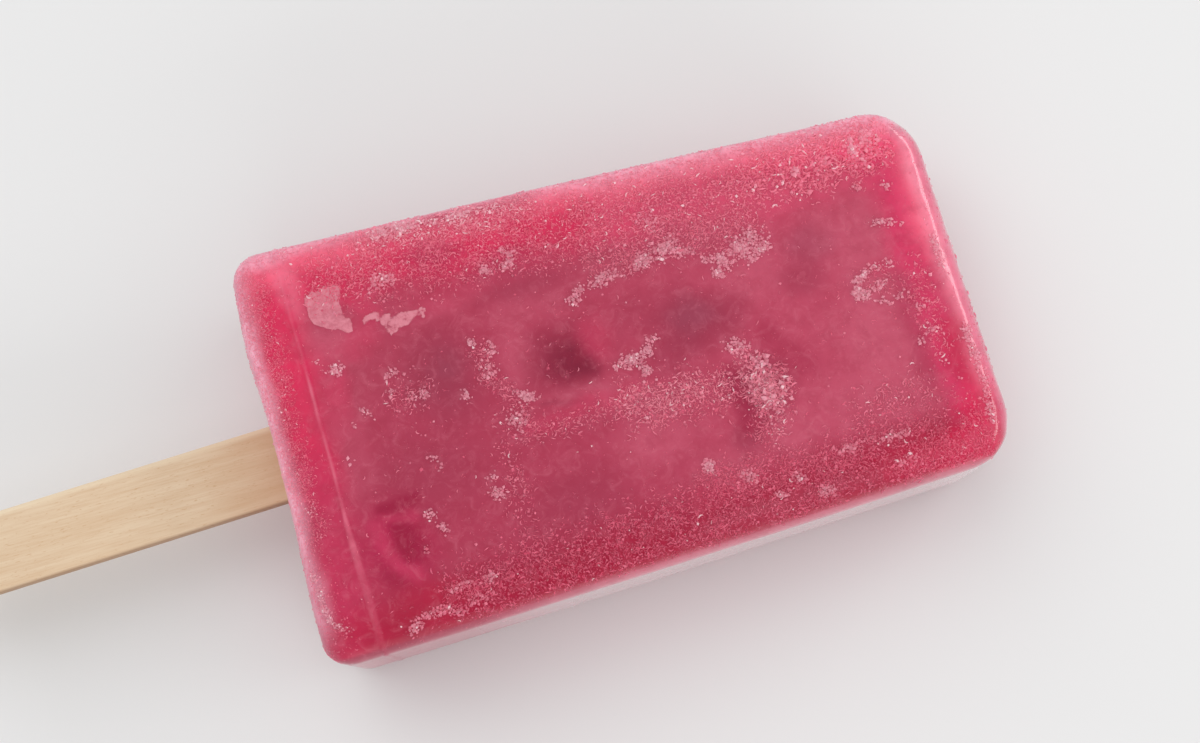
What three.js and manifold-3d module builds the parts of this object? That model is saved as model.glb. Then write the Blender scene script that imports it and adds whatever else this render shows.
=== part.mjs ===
// An ice pop: a tapered bar of frozen fruit puree on a flat wooden stick, lying on its back.
// Millimetres. The bar is worked out in the frame of its mould: x runs from the stick end (0) to
// the tip (LENGTH), y runs across and z starts midway between the two broad faces. Each piece is
// then tipped by the mould's taper, so that the bar's back lies level.

import * as THREE from 'three';
import { mergeVertices } from 'three/addons/utils/BufferGeometryUtils.js';
import Module from 'manifold-3d';

// The bar.
const LENGTH = 88;
const WIDTH_AT_STICK = 52.4;
const WIDTH_AT_TIP = 46.6;
const DEPTH_AT_STICK = 22;
const DEPTH_AT_TIP = 18.5;
const SIDE_BULGE = 0.25; // how far the long sides swell halfway along
const CORNER_AT_STICK = 3.6; // radii of the outline's corners, seen from the front
const CORNER_AT_TIP = 6.6;
const EDGE_AT_STICK = 3.0; // radii of the edges round the broad faces
const EDGE_AT_TIP = 2.2;
const EDGE_CHANGE_LENGTH = 14; // last stretch, over which the edges tighten towards the tip
const DROOP_LENGTH = 7; // last stretch, over which the broad faces curve in to the tip
const DROOP = 1.5;

// The line that the rim of the mould leaves round the front and the sides.
const RIB_FROM_STICK_END = 6.7;
const RIB_HALF_WIDTH = 0.5;
const RIB_RISE = 0.2;

// The stick end froze in the open, so it bulges here and there across its width.
const END_BULGES = [
  { y: 15, reach: 8, rise: 0.6 },
  { y: -18, reach: 6, rise: 0.25 },
];

// The front froze free of the mould in places, so it swells and sinks a little.
const SWELL_RISE = 0.12;
const SWELL_LENGTH = 41;
const SWELL_WIDTH = 33;

// Flakes of frost that lie on the front: centre, size along and across, and turn in degrees.
const FLAKE_RISE = 0.25;
const FLAKES = [
  { x: 10.5, y: 16.0, along: 5.2, across: 6.4, turn: 25 },
  { x: 18.0, y: 12.9, along: 7.6, across: 2.8, turn: 8 },
  { x: 17.0, y: 18.0, along: 4.2, across: 2.8, turn: 0 },
  { x: 28.5, y: 3.5, along: 2.8, across: 6.0, turn: 20 },
  { x: 24.7, y: -10.8, along: 3.6, across: 2.8, turn: 40 },
  { x: 42.1, y: 10.0, along: 7.0, across: 2.6, turn: 22 },
  { x: 45.7, y: 0.3, along: 4.4, across: 3.0, turn: 15 },
  { x: 51.1, y: 12.2, along: 4.6, across: 3.0, turn: 10 },
  { x: 58.9, y: -7.7, along: 5.2, across: 7.6, turn: 12 },
  { x: 62.2, y: 10.4, along: 6.8, across: 4.2, turn: 18 },
  { x: 77.0, y: 1.7, along: 6.4, across: 4.4, turn: -10 },
];

// The stick.
const STICK_LENGTH = 114;
const STICK_WIDTH = 10;
const STICK_THICKNESS = 2;
const STICK_BEVEL = 0.25;
const STICK_OUTSIDE = 52; // the stretch that shows
const STICK_OFFSET = 1.25; // from the middle of the bar where the stick enters it
const STICK_SKEW = THREE.MathUtils.degToRad(2.1);
const STICK_GAP = 0.3; // between the wood and the slot in the bar

// The grid that the bar's surface is drawn on.
const GRID_ALONG = 46;
const GRID_ACROSS = 24;
const GRID_DEEP = 3;
const FAN_STEPS = 4; // grid lines from an inner edge out to the middle of a rounded one
const GRID_MARGIN = 4; // from the bar's faces in to the edges of the grid's inner block
const MARCH_STEPS = 40;
const LEVEL_STEP = 1e-4; // heights are rounded to this, so that the back is one true plane

const wasm = await Module();
wasm.setup();

const { clamp, lerp, smoothstep } = THREE.MathUtils;

function halfWidth(x) {
  const bulge = SIDE_BULGE * Math.sin(Math.PI * clamp(x / LENGTH, 0, 1));
  return lerp(WIDTH_AT_STICK, WIDTH_AT_TIP, x / LENGTH) / 2 + bulge;
}

function halfDepth(x) {
  return lerp(DEPTH_AT_STICK, DEPTH_AT_TIP, x / LENGTH) / 2;
}

function edgeRadius(x) {
  return lerp(EDGE_AT_STICK, EDGE_AT_TIP, smoothstep(x, LENGTH - EDGE_CHANGE_LENGTH, LENGTH));
}

// Distance to the corner where two faces meet in a rounding, from the distance to each face.
function roundedCorner(toOne, toOther, radius) {
  const one = toOne + radius;
  const other = toOther + radius;
  return Math.hypot(Math.max(one, 0), Math.max(other, 0)) + Math.min(Math.max(one, other), 0) - radius;
}

// Distance to the bar's outline as seen from the front, below zero inside it.
function outlineDistance(x, y) {
  const nearStick = x < LENGTH / 2;
  const toEnd = nearStick ? -x : x - LENGTH;
  return roundedCorner(Math.abs(y) - halfWidth(x), toEnd, nearStick ? CORNER_AT_STICK : CORNER_AT_TIP);
}

// Distance to the bar's smooth surface, below zero inside it.
function barDistance(point) {
  const droop = DROOP * Math.max(0, (point.x - LENGTH + DROOP_LENGTH) / DROOP_LENGTH) ** 2;
  const toFace = Math.abs(point.z) - halfDepth(point.x) + droop;
  return roundedCorner(outlineDistance(point.x, point.y), toFace, edgeRadius(point.x));
}

function ribHeight(point) {
  const flank = 1 - Math.abs(point.x - RIB_FROM_STICK_END) / RIB_HALF_WIDTH;
  return RIB_RISE * clamp(flank, 0, 1);
}

function endBulge(point) {
  const rises = END_BULGES.map(({ y, reach, rise }) => rise * Math.exp(-(((point.y - y) / reach) ** 2)));
  return (1 - smoothstep(point.x, 0, GRID_MARGIN)) * (rises[0] + rises[1]);
}

function swellHeight(point) {
  const along = Math.sin(2 * Math.PI * point.x / SWELL_LENGTH + point.y / SWELL_WIDTH);
  const across = Math.cos(2 * Math.PI * point.y / SWELL_WIDTH - point.x / SWELL_LENGTH);
  return SWELL_RISE * along * across;
}

// A flake's outline is an ellipse with a few bays and points, other ones on each flake.
function flakeHeight(point, flake, index) {
  const turn = THREE.MathUtils.degToRad(flake.turn);
  const east = point.x - flake.x;
  const north = point.y - flake.y;
  const along = (east * Math.cos(turn) + north * Math.sin(turn)) / (flake.along / 2);
  const across = (north * Math.cos(turn) - east * Math.sin(turn)) / (flake.across / 2);
  const round = Math.atan2(across, along);
  const reach = 1 + 0.16 * Math.sin(3 * round + index) + 0.1 * Math.sin(5 * round + 2 * index);
  return FLAKE_RISE * (1 - smoothstep(Math.hypot(along, across) / reach, 0.7, 1.15));
}

// How far the surface stands proud of the smooth bar. The back stays flat.
function relief(point) {
  const backEdge = -halfDepth(point.x);
  const offBack = smoothstep(point.z, backEdge, backEdge + EDGE_AT_STICK);
  const raised = offBack * (ribHeight(point) + endBulge(point));
  if (point.z <= 0) return raised;
  const inward = smoothstep(-outlineDistance(point.x, point.y), 0, EDGE_AT_STICK);
  const flakes = FLAKES.map((flake, index) => flakeHeight(point, flake, index));
  return raised + inward * (swellHeight(point) + Math.max(...flakes));
}

// Grid lines along one axis. `at` is -1 to 1 across the inner block, and `lean` is how far the rays
// from there lean outwards: not at all within the block, and fanned out to 45 degrees at its ends.
function gridLines(spans) {
  const fan = Array.from({ length: FAN_STEPS }, (_, step) => (
    Math.tan((Math.PI / 4) * (1 - step / FAN_STEPS))
  ));
  const first = fan.map((lean) => ({ at: -1, lean: -lean }));
  const inner = Array.from({ length: spans + 1 }, (_, step) => ({ at: 2 * step / spans - 1, lean: 0 }));
  const last = fan.reverse().map((lean) => ({ at: 1, lean }));
  return [...first, ...inner, ...last];
}

// The grid lines along the bar, with three more that draw the rib's two feet and its crest.
function gridLinesAlong() {
  const rib = [-1, 0, 1].map((side) => RIB_FROM_STICK_END + side * RIB_HALF_WIDTH);
  const ribLines = rib.map((x) => ({ at: 2 * (x - GRID_MARGIN) / (LENGTH - 2 * GRID_MARGIN) - 1, lean: 0 }));
  return [...gridLines(GRID_ALONG), ...ribLines].sort((a, b) => a.at - b.at || a.lean - b.lean);
}

// The point of the surface that the ray of three grid lines meets.
function surfacePoint(alongX, alongY, alongZ) {
  const x = GRID_MARGIN + (alongX.at + 1) / 2 * (LENGTH - 2 * GRID_MARGIN);
  const start = new THREE.Vector3(
    x,
    alongY.at * (halfWidth(x) - GRID_MARGIN),
    alongZ.at * (halfDepth(x) - GRID_MARGIN),
  );
  const ray = new THREE.Vector3(alongX.lean, alongY.lean, alongZ.lean).normalize();
  const point = start.clone();
  for (let step = 0; step < MARCH_STEPS; step += 1) {
    point.addScaledVector(ray, -barDistance(point));
  }
  return point.addScaledVector(ray, relief(point));
}

function barGeometry() {
  const xLines = gridLinesAlong();
  const yLines = gridLines(GRID_ACROSS);
  const zLines = gridLines(GRID_DEEP);
  const cells = [xLines.length - 1, yLines.length - 1, zLines.length - 1];
  const geometry = new THREE.BoxGeometry(1, 1, 1, ...cells);
  const positions = geometry.getAttribute('position');
  for (let i = 0; i < positions.count; i += 1) {
    const [x, y, z] = [positions.getX(i), positions.getY(i), positions.getZ(i)];
    const point = surfacePoint(
      xLines[Math.round((x + 0.5) * cells[0])],
      yLines[Math.round((y + 0.5) * cells[1])],
      zLines[Math.round((z + 0.5) * cells[2])],
    );
    positions.setXYZ(i, point.x, point.y, point.z);
  }
  return geometry;
}

// Tips a piece from the mould's frame into the one where the back is level.
function levelled(geometry) {
  geometry.rotateY(Math.atan2((DEPTH_AT_STICK - DEPTH_AT_TIP) / 2, LENGTH));
  const positions = geometry.getAttribute('position');
  for (let i = 0; i < positions.count; i += 1) {
    positions.setZ(i, Math.round(positions.getZ(i) / LEVEL_STEP) * LEVEL_STEP);
  }
  return geometry;
}

// The stick where it sits in the bar, or with `grow` the slot that it leaves in the ice.
function stickGeometry(grow = 0) {
  const radius = STICK_WIDTH / 2;
  const reach = STICK_LENGTH / 2 - radius;
  const outline = new THREE.Shape();
  outline.absarc(reach, 0, radius, -Math.PI / 2, Math.PI / 2);
  outline.absarc(-reach, 0, radius, Math.PI / 2, 1.5 * Math.PI);
  outline.closePath();
  const depth = STICK_THICKNESS - 2 * STICK_BEVEL + 2 * grow;
  const geometry = new THREE.ExtrudeGeometry(outline, {
    depth,
    curveSegments: 16,
    bevelThickness: STICK_BEVEL,
    bevelSize: STICK_BEVEL,
    bevelOffset: grow - STICK_BEVEL,
    bevelSegments: 1,
  });
  geometry.translate(STICK_LENGTH / 2 - STICK_OUTSIDE, 0, -depth / 2);
  geometry.rotateZ(STICK_SKEW);
  return geometry.translate(0, STICK_OFFSET, 0);
}

function toSolid(geometry) {
  const bare = levelled(geometry);
  bare.deleteAttribute('normal');
  bare.deleteAttribute('uv');
  const merged = mergeVertices(bare, 1e-4);
  return new wasm.Manifold(new wasm.Mesh({
    numProp: 3,
    vertProperties: Float32Array.from(merged.getAttribute('position').array),
    triVerts: Uint32Array.from(merged.getIndex().array),
  }));
}

function toGeometry(solid) {
  const { vertProperties, triVerts } = solid.getMesh();
  const geometry = new THREE.BufferGeometry();
  geometry.setAttribute('position', new THREE.BufferAttribute(vertProperties, 3));
  geometry.setIndex(new THREE.BufferAttribute(triVerts, 1));
  geometry.computeVertexNormals();
  return geometry;
}

function iceBar() {
  const solid = toSolid(barGeometry()).subtract(toSolid(stickGeometry(STICK_GAP)));
  const material = new THREE.MeshStandardMaterial({ color: 0xb9475f, roughness: 0.35, metalness: 0 });
  const mesh = new THREE.Mesh(toGeometry(solid), material);
  mesh.name = 'ice_bar';
  return mesh;
}

function stick() {
  const material = new THREE.MeshStandardMaterial({ color: 0xd6bb9b, roughness: 0.7, metalness: 0 });
  const mesh = new THREE.Mesh(toGeometry(toSolid(stickGeometry())), material);
  mesh.name = 'stick';
  return mesh;
}

// The pop is moved so that the origin is on the ground under its middle.
const pop = new THREE.Group();
pop.add(iceBar(), stick());

const box = new THREE.Box3().setFromObject(pop, true);
const middle = box.getCenter(new THREE.Vector3());
pop.position.set(-middle.x, -middle.y, -box.min.z);

const group = new THREE.Group();
group.add(pop);

export default group;
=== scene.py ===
import itertools
import math
from collections import namedtuple

import bpy
import numpy as np
from mathutils import Matrix, Vector


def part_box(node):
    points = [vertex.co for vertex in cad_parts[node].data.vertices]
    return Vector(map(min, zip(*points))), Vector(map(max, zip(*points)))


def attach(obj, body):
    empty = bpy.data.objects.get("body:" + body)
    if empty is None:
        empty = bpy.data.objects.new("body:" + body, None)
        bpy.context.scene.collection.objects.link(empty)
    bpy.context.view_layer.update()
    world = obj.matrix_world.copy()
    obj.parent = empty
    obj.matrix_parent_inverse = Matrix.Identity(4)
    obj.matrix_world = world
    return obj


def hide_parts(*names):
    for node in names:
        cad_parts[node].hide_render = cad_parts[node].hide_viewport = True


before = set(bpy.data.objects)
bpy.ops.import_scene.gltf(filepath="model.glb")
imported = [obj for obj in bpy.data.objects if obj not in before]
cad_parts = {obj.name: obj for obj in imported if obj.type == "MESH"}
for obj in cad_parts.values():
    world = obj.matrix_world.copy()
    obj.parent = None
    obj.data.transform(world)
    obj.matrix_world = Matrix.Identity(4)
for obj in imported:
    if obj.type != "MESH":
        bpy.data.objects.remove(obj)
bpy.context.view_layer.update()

# ---- The bar, in millimetres and in its mould's frame: x from the stick end to the tip, y across,
# ---- z from midway between the broad faces. It has the CAD node's form, but the rib is also skewed
# ---- and wavers.
LENGTH = 88.0
WIDTH_AT_STICK = 52.4
WIDTH_AT_TIP = 46.6
DEPTH_AT_STICK = 22.0
DEPTH_AT_TIP = 18.5
SIDE_BULGE = 0.25
CORNER_AT_STICK = 3.6
CORNER_AT_TIP = 6.6
EDGE_AT_STICK = 3.0
EDGE_AT_TIP = 2.2
EDGE_CHANGE_LENGTH = 14.0
DROOP_LENGTH = 7.0  # over which the broad faces curve in to the tip
DROOP = 1.5  # how far they have come in at the tip
RIB_FROM_STICK_END = 6.35
RIB_SKEW = 0.02
RIB_HALF_WIDTH = 0.5
RIB_RISE = 0.11
RIB_WAVER = 0.2
RIB_UNEVEN = 0.9  # how much its rise changes, as a share of it
END_BULGES = [(15.0, 8.0, 0.6), (-18.0, 6.0, 0.25)]  # y, reach and rise of each
SWELL_RISE = 0.12
SWELL_LENGTH = 41.0
SWELL_WIDTH = 33.0

# ---- The stick, in the same frame.
STICK_LENGTH = 114.0
STICK_WIDTH = 10.0
STICK_THICKNESS = 2.0
STICK_OUTSIDE = 52.0
STICK_OFFSET = 1.25
STICK_SKEW = math.radians(2.1)

# ---- The grid that the bar's surface is drawn on.
GRID_PITCH = 0.4
FINE_PITCH = 0.1  # along the rib
FAN_STEPS = 8
GRID_MARGIN = 4.0
MARCH_STEPS = 40

# ---- The camera, fitted to the photograph's outline of the bar.
CAMERA_LENS = 50.0
CAMERA_ROLL = math.radians(16.04)
CAMERA_TILT = math.radians(-11.10)
CAMERA_YAW = math.radians(3.27)
CAMERA_SHIFT_MM = Vector((3.26, -0.96, -213.16))

TAPER_TURN = math.atan2((DEPTH_AT_STICK - DEPTH_AT_TIP) / 2, LENGTH)


# ---- Small tools

def smoothstep(value, low, high):
    share = np.clip((value - low) / (high - low), 0, 1)
    return share * share * (3 - 2 * share)


def noise(points, size, seed):
    """Smooth gradient noise, about -0.7 to 0.7, with features `size` millimetres across."""
    rng = np.random.default_rng(seed)
    table = rng.permutation(256)
    slopes = rng.normal(size=(256, 3))
    slopes /= np.linalg.norm(slopes, axis=1, keepdims=True)
    place = points / size
    cell = np.floor(place).astype(int)
    inner = place - cell
    ease = inner**3 * (inner * (inner * 6 - 15) + 10)
    total = np.zeros(len(points))
    for corner in itertools.product((0, 1), repeat=3):
        x, y, z = ((cell + corner) & 255).T
        slope = slopes[table[(table[(table[x] + y) & 255] + z) & 255]]
        weight = np.prod(np.where(corner, ease, 1 - ease), axis=1)
        total += weight * np.sum(slope * (inner - corner), axis=1)
    return total


def layered_noise(points, size, seed, layers=3):
    return sum(noise(points, size / 2**n, seed + n) / 2**n for n in range(layers))


# ---- The bar's form

def half_width(x):
    bulge = SIDE_BULGE * np.sin(math.pi * np.clip(x / LENGTH, 0, 1))
    return (WIDTH_AT_STICK + (WIDTH_AT_TIP - WIDTH_AT_STICK) * x / LENGTH) / 2 + bulge


def half_depth(x):
    return (DEPTH_AT_STICK + (DEPTH_AT_TIP - DEPTH_AT_STICK) * x / LENGTH) / 2


def edge_radius(x):
    change = smoothstep(x, LENGTH - EDGE_CHANGE_LENGTH, LENGTH)
    return EDGE_AT_STICK + (EDGE_AT_TIP - EDGE_AT_STICK) * change


def rounded_corner(to_one, to_other, radius):
    """Distance to where two faces meet in a rounding, from the distance to each face."""
    one, other = to_one + radius, to_other + radius
    outside = np.hypot(np.maximum(one, 0), np.maximum(other, 0))
    return outside + np.minimum(np.maximum(one, other), 0) - radius


def outline_distance(x, y):
    """Distance to the bar's outline as seen from the front, below zero inside it."""
    near_stick = x < LENGTH / 2
    to_end = np.where(near_stick, -x, x - LENGTH)
    radius = np.where(near_stick, CORNER_AT_STICK, CORNER_AT_TIP)
    return rounded_corner(np.abs(y) - half_width(x), to_end, radius)


def bar_distance(points):
    """Distance to the bar's smooth surface, below zero inside it."""
    x, y, z = points.T
    droop = DROOP * np.maximum(0, (x - LENGTH + DROOP_LENGTH) / DROOP_LENGTH) ** 2
    to_face = np.abs(z) - half_depth(x) + droop
    return rounded_corner(outline_distance(x, y), to_face, edge_radius(x))


def rib_distance(points):
    """Distance along the bar from the rib, which wavers slightly."""
    x, y, _ = points.T
    waver = RIB_WAVER * layered_noise(points * (0.0, 1.0, 1.0), 7.0, 62)
    return x - RIB_FROM_STICK_END + RIB_SKEW * y + waver


def off_back(points):
    """0 on the flat back and 1 past the rounded edge round it."""
    x, _, z = points.T
    return smoothstep(z, -half_depth(x), -half_depth(x) + EDGE_AT_STICK)


def form_rise(points):
    """How far the bar's true form stands proud of the smooth one, in millimetres: not on the back."""
    x, y, z = points.T
    rib = RIB_RISE * np.clip(1 - (rib_distance(points) / RIB_HALF_WIDTH) ** 2, 0, 1) ** 2
    rib *= 1 + RIB_UNEVEN * noise(points * (0.0, 1.0, 1.0), 3.4, 63)
    bulges = sum(rise * np.exp(-(((y - at) / reach) ** 2)) for at, reach, rise in END_BULGES)
    end_bulge = (1 - smoothstep(x, 0, GRID_MARGIN)) * bulges
    inward = smoothstep(-outline_distance(x, y), 0, EDGE_AT_STICK) * (z > 0)
    swell = SWELL_RISE * (np.sin(2 * math.pi * x / SWELL_LENGTH + y / SWELL_WIDTH)
                          * np.cos(2 * math.pi * y / SWELL_WIDTH - x / SWELL_LENGTH))
    return off_back(points) * (rib + end_bulge + inward * swell)


def bar_normals(points):
    step = 1e-3
    ahead = [bar_distance(points + step * axis) for axis in np.eye(3)]
    slope = np.stack(ahead, axis=1) - bar_distance(points)[:, None]
    return slope / np.linalg.norm(slope, axis=1, keepdims=True)


def grid_lines(length, finer=()):
    """Where the grid lines along one axis start, -1 to 1, and how far their rays lean outwards.
    `finer` is where a part of the axis that has its lines closer together starts and ends."""
    fan = np.tan(np.linspace(math.pi / 4, 0, FAN_STEPS, endpoint=False))
    inner = np.linspace(-1, 1, round((length - 2 * GRID_MARGIN) / GRID_PITCH) + 1)
    if finer:
        low, high = (2 * (at - GRID_MARGIN) / (length - 2 * GRID_MARGIN) - 1 for at in finer)
        close = np.linspace(low, high, round((finer[1] - finer[0]) / FINE_PITCH) + 1)
        inner = np.concatenate([inner[inner < low - 1e-3], close, inner[inner > high + 1e-3]])
    at = np.concatenate([-np.ones(FAN_STEPS), inner, np.ones(FAN_STEPS)])
    lean = np.concatenate([-fan, 0 * inner, fan[::-1]])
    return at, lean


def box_quads(cells):
    """Lattice points (i, j, k) on the surface of a box of cells, and the quads that join them."""
    quads = []
    for axis in range(3):
        across, up = (axis + 1) % 3, (axis + 2) % 3
        i, j = np.meshgrid(np.arange(cells[across]), np.arange(cells[up]), indexing="ij")
        for side in (0, cells[axis]):
            ring = [(0, 0), (1, 0), (1, 1), (0, 1)]
            corners = np.empty((i.size, 4, 3), int)
            for n, (di, dj) in enumerate(ring if side else ring[::-1]):
                corners[:, n, axis] = side
                corners[:, n, across] = i.ravel() + di
                corners[:, n, up] = j.ravel() + dj
            quads.append(corners)
    corners = np.concatenate(quads).reshape(-1, 3)
    lattice, index = np.unique(corners, axis=0, return_inverse=True)
    return lattice, index.reshape(-1, 4)


def smooth_bar():
    """Points of the bar's smooth surface and the quads that join them."""
    sway = RIB_SKEW * WIDTH_AT_STICK / 2 + RIB_HALF_WIDTH + RIB_WAVER
    lines = [grid_lines(LENGTH, (RIB_FROM_STICK_END - sway, RIB_FROM_STICK_END + sway)),
             grid_lines(WIDTH_AT_TIP), grid_lines(DEPTH_AT_TIP)]
    lattice, quads = box_quads([len(at) - 1 for at, _ in lines])
    at = np.stack([lines[n][0][lattice[:, n]] for n in range(3)], axis=1)
    ray = np.stack([lines[n][1][lattice[:, n]] for n in range(3)], axis=1)
    ray /= np.linalg.norm(ray, axis=1, keepdims=True)
    x = GRID_MARGIN + (at[:, 0] + 1) / 2 * (LENGTH - 2 * GRID_MARGIN)
    y = at[:, 1] * (half_width(x) - GRID_MARGIN)
    z = at[:, 2] * (half_depth(x) - GRID_MARGIN)
    points = np.stack([x, y, z], axis=1)
    for _ in range(MARCH_STEPS):
        points -= ray * bar_distance(points)[:, None]
    return points, quads


# ---- Marks on the front: each is a function that gives every point 0 to its strength

def spot(x, y, along, across, strength=1.0, turn=0.0):
    """A soft ellipse: its middle, half sizes along and across the bar, and turn in degrees."""
    cos, sin = math.cos(math.radians(turn)), math.sin(math.radians(turn))

    def weight(points):
        east, north = points[:, 0] - x, points[:, 1] - y
        reach = np.hypot((east * cos + north * sin) / along, (north * cos - east * sin) / across)
        return strength * (1 - smoothstep(reach, 0.3, 1.5))
    return weight


def line_distance(points, corners):
    """Distance across the front to a line through the corners."""
    nearest = np.full(len(points), np.inf)
    for start, end in zip(corners, corners[1:]):
        start, run = np.array(start), np.subtract(end, start)
        share = np.clip((points[:, :2] - start) @ run / (run @ run), 0, 1)
        gap = points[:, :2] - start - share[:, None] * run
        nearest = np.minimum(nearest, np.hypot(*gap.T))
    return nearest


def stroke(width, strength, *corners):
    """A soft band along a line: half as strong half its width away."""
    def weight(points):
        return strength * (1 - smoothstep(line_distance(points, corners) / width, 0.1, 0.9))
    return weight


def all_marks(points, marks):
    """The marks together: where they overlap they add up, but never past 1."""
    clear = np.ones(len(points))
    for mark in marks:
        clear *= 1 - mark(points)
    return 1 - clear


def patch_field(points, corners):
    """Distance inwards from a patch's outline, below zero outside it."""
    closed = [*corners, corners[0]]
    inside = np.zeros(len(points), bool)
    for (ax, ay), (bx, by) in zip(closed, closed[1:]):
        if ay != by:
            crosses = (points[:, 1] < ay) != (points[:, 1] < by)
            inside ^= crosses & (points[:, 0] < ax + (bx - ax) * (points[:, 1] - ay) / (by - ay))
    return np.where(inside, 1, -1) * line_distance(points, closed)


def srgb(code):
    """A colour code such as "b3455e" as linear red, green and blue."""
    parts = [int(code[n:n + 2], 16) / 255 for n in (0, 2, 4)]
    return tuple(p / 12.92 if p <= 0.04045 else ((p + 0.055) / 1.055) ** 2.4 for p in parts)


GLOSS = 0.015  # how much white the gloss adds to what lies under it
LEAST = 0.004


def under_gloss(code):
    """The colour that, with the gloss on it, looks like the code."""
    return tuple(max(part - GLOSS, LEAST) for part in srgb(code))


# ---- The puree's colour, with painted light and shade on its edges and near side: what lies under the frost, from the deepest to the nearest

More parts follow.
